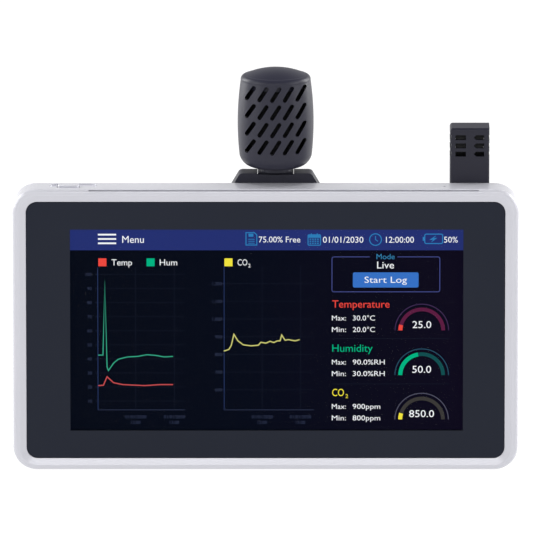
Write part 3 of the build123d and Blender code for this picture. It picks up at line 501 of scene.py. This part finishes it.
def moulded_group():
    """Fine mould texture: a tight grain for height, and slow drifts of tone and roughness over a surface."""
    group = bpy.data.node_groups.new("moulded_skin", "ShaderNodeTree")
    add_socket(group, "Position", "NodeSocketVector", "INPUT")
    add_socket(group, "Grain Scale", "NodeSocketFloat", "INPUT", 6000.0)
    add_socket(group, "Drift Scale", "NodeSocketFloat", "INPUT", 60.0)
    add_socket(group, "Dark", "NodeSocketColor", "INPUT", (0.05, 0.05, 0.05, 1))
    add_socket(group, "Light", "NodeSocketColor", "INPUT", (0.06, 0.06, 0.06, 1))
    add_socket(group, "Smoothest", "NodeSocketFloat", "INPUT", 0.4)
    add_socket(group, "Roughest", "NodeSocketFloat", "INPUT", 0.5)
    add_socket(group, "Color", "NodeSocketColor", "OUTPUT")
    add_socket(group, "Roughness", "NodeSocketFloat", "OUTPUT")
    add_socket(group, "Height", "NodeSocketFloat", "OUTPUT")
    tree, link = group.nodes, group.links.new
    inside = tree.new("NodeGroupInput")
    outside = tree.new("NodeGroupOutput")
    grain = tree.new("ShaderNodeTexNoise")
    grain.inputs["Detail"].default_value = 3
    drift = tree.new("ShaderNodeTexNoise")
    drift.inputs["Detail"].default_value = 4
    tone = tree.new("ShaderNodeMix")
    tone.data_type = "RGBA"
    rough = tree.new("ShaderNodeMapRange")
    link(inside.outputs["Position"], grain.inputs["Vector"])
    link(inside.outputs["Position"], drift.inputs["Vector"])
    link(inside.outputs["Grain Scale"], grain.inputs["Scale"])
    link(inside.outputs["Drift Scale"], drift.inputs["Scale"])
    link(drift.outputs["Fac"], tone.inputs["Factor"])
    link(inside.outputs["Dark"], tone.inputs["A"])
    link(inside.outputs["Light"], tone.inputs["B"])
    link(drift.outputs["Fac"], rough.inputs["Value"])
    link(inside.outputs["Smoothest"], rough.inputs["To Min"])
    link(inside.outputs["Roughest"], rough.inputs["To Max"])
    link(tone.outputs["Result"], outside.inputs["Color"])
    link(rough.outputs["Result"], outside.inputs["Roughness"])
    link(grain.outputs["Fac"], outside.inputs["Height"])
    return group


moulded_skin = moulded_group()


def new_material(name):
    """A material with its shader and object coordinates."""
    material = bpy.data.materials.new(name)
    material.use_nodes = True
    tree = material.node_tree
    shader = tree.nodes["Principled BSDF"]
    place = tree.nodes.new("ShaderNodeTexCoord")
    return material, tree, shader, place.outputs["Object"]


def skinned(name, dark, light, smoothest, roughest, grain_scale=6000.0, drift_scale=60.0, depth=0.02,
            **fixed):
    """A material whose colour, roughness and bump come from the moulded skin group.

    dark and light are the ends of its colour, smoothest and roughest of its roughness, and depth is the depth
    of its grain in millimetres. fixed gives values for the shader's own sockets, with _ for a space.
    """
    material, tree, shader, position = new_material(name)
    skin = tree.nodes.new("ShaderNodeGroup")
    skin.node_tree = moulded_skin
    skin.inputs["Grain Scale"].default_value = grain_scale
    skin.inputs["Drift Scale"].default_value = drift_scale
    skin.inputs["Dark"].default_value = (*dark, 1)
    skin.inputs["Light"].default_value = (*light, 1)
    skin.inputs["Smoothest"].default_value = smoothest
    skin.inputs["Roughest"].default_value = roughest
    bump = tree.nodes.new("ShaderNodeBump")
    bump.inputs["Distance"].default_value = depth * MM
    link = tree.links.new
    link(position, skin.inputs["Position"])
    link(skin.outputs["Color"], shader.inputs["Base Color"])
    link(skin.outputs["Roughness"], shader.inputs["Roughness"])
    link(skin.outputs["Height"], bump.inputs["Height"])
    link(bump.outputs["Normal"], shader.inputs["Normal"])
    for socket, value in fixed.items():
        shader.inputs[socket.replace("_", " ")].default_value = value
    return material


GLASS_FILM = 0.015          # how much of the glass shows over the lit area
GLASS_GLOSS = 0.17
GLASS_DARK, GLASS_LIGHT = (0.007, 0.010, 0.020), (0.010, 0.013, 0.024)
GLASS_SMOOTHEST, GLASS_ROUGHEST = 0.02, 0.05
GLOW_BASE = (0.001, 0.001, 0.001)
GLOW_ROUGHNESS = 0.6


def over_lit_area(tree, place):
    """1 over the lit area and 0 over the border round it, from the distance to the lit area's middle."""
    half_w, half_h = screen_w * MM / 2, screen_h * MM / 2
    split = tree.nodes.new("ShaderNodeSeparateXYZ")
    tree.links.new(place, split.inputs["Vector"])
    inside = tree.nodes.new("ShaderNodeMath")
    inside.operation = "MULTIPLY"
    spans = (("X", screen_left + half_w, half_w), ("Z", screen_top - half_h, half_h))
    for index, (axis, middle, half) in enumerate(spans):
        within = tree.nodes.new("ShaderNodeMath")
        within.operation = "COMPARE"
        within.inputs[1].default_value = middle
        within.inputs[2].default_value = half
        tree.links.new(split.outputs[axis], within.inputs[0])
        tree.links.new(within.outputs["Value"], inside.inputs[index])
    return inside.outputs["Value"]


def cover_glass_material():
    """Cover glass printed black behind its border, and almost clear over the lit area."""
    material, tree, shader, position = new_material("cover_glass")
    shader.inputs["Specular IOR Level"].default_value = GLASS_GLOSS
    tint = tree.nodes.new("ShaderNodeTexNoise")
    tint.inputs["Scale"].default_value = 35
    tint.inputs["Detail"].default_value = 5
    ink = tree.nodes.new("ShaderNodeMix")
    ink.data_type = "RGBA"
    ink.inputs["A"].default_value = (*GLASS_DARK, 1)
    ink.inputs["B"].default_value = (*GLASS_LIGHT, 1)
    polish = tree.nodes.new("ShaderNodeMapRange")
    polish.inputs["To Min"].default_value = GLASS_SMOOTHEST
    polish.inputs["To Max"].default_value = GLASS_ROUGHEST
    clear = tree.nodes.new("ShaderNodeMapRange")
    clear.inputs["To Min"].default_value = 1.0
    clear.inputs["To Max"].default_value = GLASS_FILM
    link = tree.links.new
    link(position, tint.inputs["Vector"])
    link(tint.outputs["Fac"], ink.inputs["Factor"])
    link(tint.outputs["Fac"], polish.inputs["Value"])
    link(ink.outputs["Result"], shader.inputs["Base Color"])
    link(polish.outputs["Result"], shader.inputs["Roughness"])
    link(over_lit_area(tree, position), clear.inputs["Value"])
    link(clear.outputs["Result"], shader.inputs["Alpha"])
    return material


def make_glow(tree, shader, colour):
    """Makes a dull black surface that glows in a colour, a little brighter for the glass in front of it."""
    tree.links.new(colour, shader.inputs["Emission Color"])
    shader.inputs["Emission Strength"].default_value = 1 / (1 - GLASS_FILM)
    shader.inputs["Base Color"].default_value = (*GLOW_BASE, 1)
    shader.inputs["Roughness"].default_value = GLOW_ROUGHNESS
    shader.inputs["Specular IOR Level"].default_value = 0.0


def screen_material():
    """The unlit panel: near black, navy at the left and purple towards the right, glowing faintly."""
    material, tree, shader, position = new_material("screen_black")
    split = tree.nodes.new("ShaderNodeSeparateXYZ")
    across = tree.nodes.new("ShaderNodeMapRange")
    across.inputs["From Min"].default_value = screen_left
    across.inputs["From Max"].default_value = screen_left + screen_w * MM
    ramp = tree.nodes.new("ShaderNodeValToRGB")
    ramp.color_ramp.elements[0].color = (*PANEL_LEFT, 1)
    ramp.color_ramp.elements[1].color = (*PANEL_RIGHT, 1)
    middle = ramp.color_ramp.elements.new(0.45)
    middle.color = (*PANEL_MIDDLE, 1)
    link = tree.links.new
    link(position, split.inputs["Vector"])
    link(split.outputs["X"], across.inputs["Value"])
    link(across.outputs["Result"], ramp.inputs["Fac"])
    make_glow(tree, shader, ramp.outputs["Color"])
    return material


def ink_material():
    """Lit marks: each takes its colour from the attribute ink."""
    material, tree, shader, _ = new_material("lit_marks")
    colour = tree.nodes.new("ShaderNodeAttribute")
    colour.attribute_name = "ink"
    make_glow(tree, shader, colour.outputs["Color"])
    return material


materials = {
    "silver_plastic": skinned(
        "silver_plastic", (0.56, 0.56, 0.61), (0.59, 0.59, 0.64), 0.2, 0.28,
        depth=0.001, Metallic=0.15, Coat_Weight=0.3, Coat_Roughness=0.08),
    "cover_glass": cover_glass_material(),
    "black_ink": skinned(
        "black_ink", (0.026, 0.031, 0.041), (0.030, 0.035, 0.046), 0.5, 0.6,
        drift_scale=12.0, depth=0.001, Specular_IOR_Level=0.0),
    "screen_black": screen_material(),
    "black_foam": skinned(
        "black_foam", (0.012, 0.012, 0.012), (0.025, 0.025, 0.025), 0.8, 0.95, 2500.0, depth=0.06),
    "steel": skinned(
        "steel", (0.48, 0.48, 0.48), (0.6, 0.6, 0.6), 0.28, 0.42, 3000.0, depth=0.004, Metallic=1.0),
    "flex_film": skinned(
        "flex_film", (0.55, 0.25, 0.05), (0.65, 0.3, 0.06), 0.25, 0.35, Coat_Weight=0.5),
    "board_green": skinned(
        "board_green", (0.01, 0.12, 0.045), (0.015, 0.17, 0.06), 0.3, 0.4, 900.0, Coat_Weight=0.4),
    "board_black": skinned(
        "board_black", (0.012, 0.013, 0.016), (0.02, 0.021, 0.026), 0.35, 0.45, 900.0),
    "chip_black": skinned(
        "chip_black", (0.02, 0.02, 0.022), (0.03, 0.03, 0.032), 0.5, 0.65, 5000.0),
    "battery_film": skinned(
        "battery_film", (0.45, 0.47, 0.5), (0.55, 0.57, 0.6), 0.2, 0.35, 700.0, Metallic=0.8),
    "dark_plastic": skinned(
        "dark_plastic", (0.013, 0.013, 0.023), (0.017, 0.017, 0.029), 0.40, 0.5, 4500.0,
        depth=0.012, Specular_IOR_Level=0.28),
    "head_plastic": skinned(
        "head_plastic", (0.016, 0.016, 0.029), (0.021, 0.021, 0.036), 0.36, 0.46, 4500.0,
        depth=0.012, Specular_IOR_Level=0.3),
    "black_rubber": skinned(
        "black_rubber", (0.012, 0.012, 0.012), (0.022, 0.022, 0.022), 0.7, 0.85, 3000.0, depth=0.03),
    "screw_steel": skinned(
        "screw_steel", (0.5, 0.5, 0.5), (0.62, 0.62, 0.62), 0.22, 0.35, 4000.0, depth=0.003, Metallic=1.0),
    "filter_mesh": skinned(
        "filter_mesh", (0.003, 0.003, 0.004), (0.008, 0.008, 0.01), 0.8, 0.95, 2500.0, depth=0.08),
    "module_gold": skinned(
        "module_gold", (0.7, 0.5, 0.18), (0.8, 0.6, 0.25), 0.25, 0.38, depth=0.003, Metallic=1.0),
    "gold_plate": skinned(
        "gold_plate", (0.75, 0.55, 0.2), (0.85, 0.63, 0.26), 0.15, 0.25, depth=0.002, Metallic=1.0),
}

for entry in record["subparts"]:
    node = nodes[entry["node"]]
    if not node.data.materials:
        node.data.materials.append(None)
    for material_slot in node.material_slots:
        material_slot.material = materials[entry["material_slot"]]

glowing_ink = ink_material()
lit_marks("screen_top_bar", top_bar(), glowing_ink)
lit_marks("screen_charts", charts(), glowing_ink)
lit_marks("screen_readings", readings(), glowing_ink)


# ---------------------------------------------------------------- floor, light and camera
# Places and sizes of lights are metres, powers are watts.
CAMERA_TILT = radians(12.0)
CAMERA_FAR = 3.6
SENSOR_W = 36.0
CAMERA_REACH = 50.0
FLOOR_GLOW = 0.94
FLOOR_HALF = 4.0
VIEW_WIDTH = 158.5 * MM
AIM = Vector((0.28 * MM, 0.0, 59.53 * MM))
SKY_BY_HEIGHT = ((0.0, 0.85), (0.35, 0.85), (0.6, 0.5), (0.85, 0.16), (1.0, 0.10))
SKY_BY_SIDE = ((0.0, 0.62), (0.4, 0.95), (0.65, 1.0), (1.0, 0.45))


def floor():
    """A plain white floor, glowing a little so that it stays white all the way back."""
    material, _, shader, _ = new_material("floor_paper")
    shader.inputs["Base Color"].default_value = (0.1, 0.1, 0.1, 1)
    shader.inputs["Roughness"].default_value = 0.9
    shader.inputs["Specular IOR Level"].default_value = 0.1
    shader.inputs["Emission Color"].default_value = (1, 1, 1, 1)
    shader.inputs["Emission Strength"].default_value = FLOOR_GLOW
    corners = FLOOR_HALF * np.array([(-1, -1, 0), (1, -1, 0), (1, 1, 0), (-1, 1, 0)])
    sheet = bpy.data.meshes.new("floor")
    sheet.from_pydata(corners.tolist(), [], [(0, 1, 2, 3)])
    ground = placed_piece("floor", sheet, material)


def soft_light(name, place, size, power, mirrored=True):
    """A large area light aimed at the object. It shows in the gloss of pieces if mirrored is true."""
    data = bpy.data.lights.new(name, "AREA")
    data.shape = "RECTANGLE"
    data.size, data.size_y = size
    data.energy = power
    light = bpy.data.objects.new(name, data)
    light.location = place
    light.visible_glossy = mirrored
    light.rotation_euler = (AIM - Vector(place)).to_track_quat("-Z", "Y").to_euler()
    bpy.context.collection.objects.link(light)


def set_stops(ramp, stops):
    """Sets a grey ramp's stops, given as places and brightnesses from 0 to 1."""
    while len(ramp.color_ramp.elements) < len(stops):
        ramp.color_ramp.elements.new(0.5)
    for element, (place, grey) in zip(ramp.color_ramp.elements, stops):
        element.position = place
        element.color = (grey, grey, grey, 1)


def sky():
    """White surroundings, whose brightness is one ramp on height times one on the distance to the side."""
    world = bpy.data.worlds.new("studio")
    world.use_nodes = True
    tree, link = world.node_tree.nodes, world.node_tree.links.new
    background = tree["Background"]
    place = tree.new("ShaderNodeTexCoord")
    split = tree.new("ShaderNodeSeparateXYZ")
    height = tree.new("ShaderNodeValToRGB")
    set_stops(height, SKY_BY_HEIGHT)
    sideways = tree.new("ShaderNodeMath")
    sideways.operation = "ABSOLUTE"
    wider = tree.new("ShaderNodeValToRGB")
    set_stops(wider, SKY_BY_SIDE)
    link(place.outputs["Generated"], split.inputs["Vector"])
    link(split.outputs["Z"], height.inputs["Fac"])
    link(split.outputs["X"], sideways.inputs[0])
    link(sideways.outputs["Value"], wider.inputs["Fac"])
    link(height.outputs["Color"], background.inputs["Color"])
    link(wider.outputs["Color"], background.inputs["Strength"])
    bpy.context.scene.world = world


def studio():
    """White surroundings with soft lights at both sides, one above the front, two behind and one overhead."""
    sky()
    soft_light("left_box", (-0.8, -0.35, 0.4), (0.35, 0.7), 3.0)
    soft_light("right_box", (0.8, -0.3, 0.4), (0.3, 0.7), 2.6)
    soft_light("front_box", (0.0, -1.3, 0.75), (1.2, 0.25), 2.5)
    soft_light("left_rim", (-0.8, 0.5, 0.35), (0.4, 0.6), 6.5)
    soft_light("right_rim", (0.8, 0.5, 0.35), (0.4, 0.6), 6.0)
    soft_light("overhead", (0.0, 0.15, 0.9), (0.8, 0.6), 5.5, mirrored=False)


def camera():
    """A long lens in front of the screen, looking down a little."""
    data = bpy.data.cameras.new("camera")
    data.sensor_width = SENSOR_W
    data.lens = SENSOR_W * CAMERA_FAR / VIEW_WIDTH
    data.clip_end = CAMERA_REACH
    view = bpy.data.objects.new("camera", data)
    view.location = AIM + CAMERA_FAR * Vector((0, -cos(CAMERA_TILT), sin(CAMERA_TILT)))
    view.rotation_euler = (AIM - view.location).to_track_quat("-Z", "Y").to_euler()
    bpy.context.collection.objects.link(view)
    bpy.context.scene.camera = view


floor()
studio()
camera()
bpy.context.scene.view_settings.view_transform = "Standard"
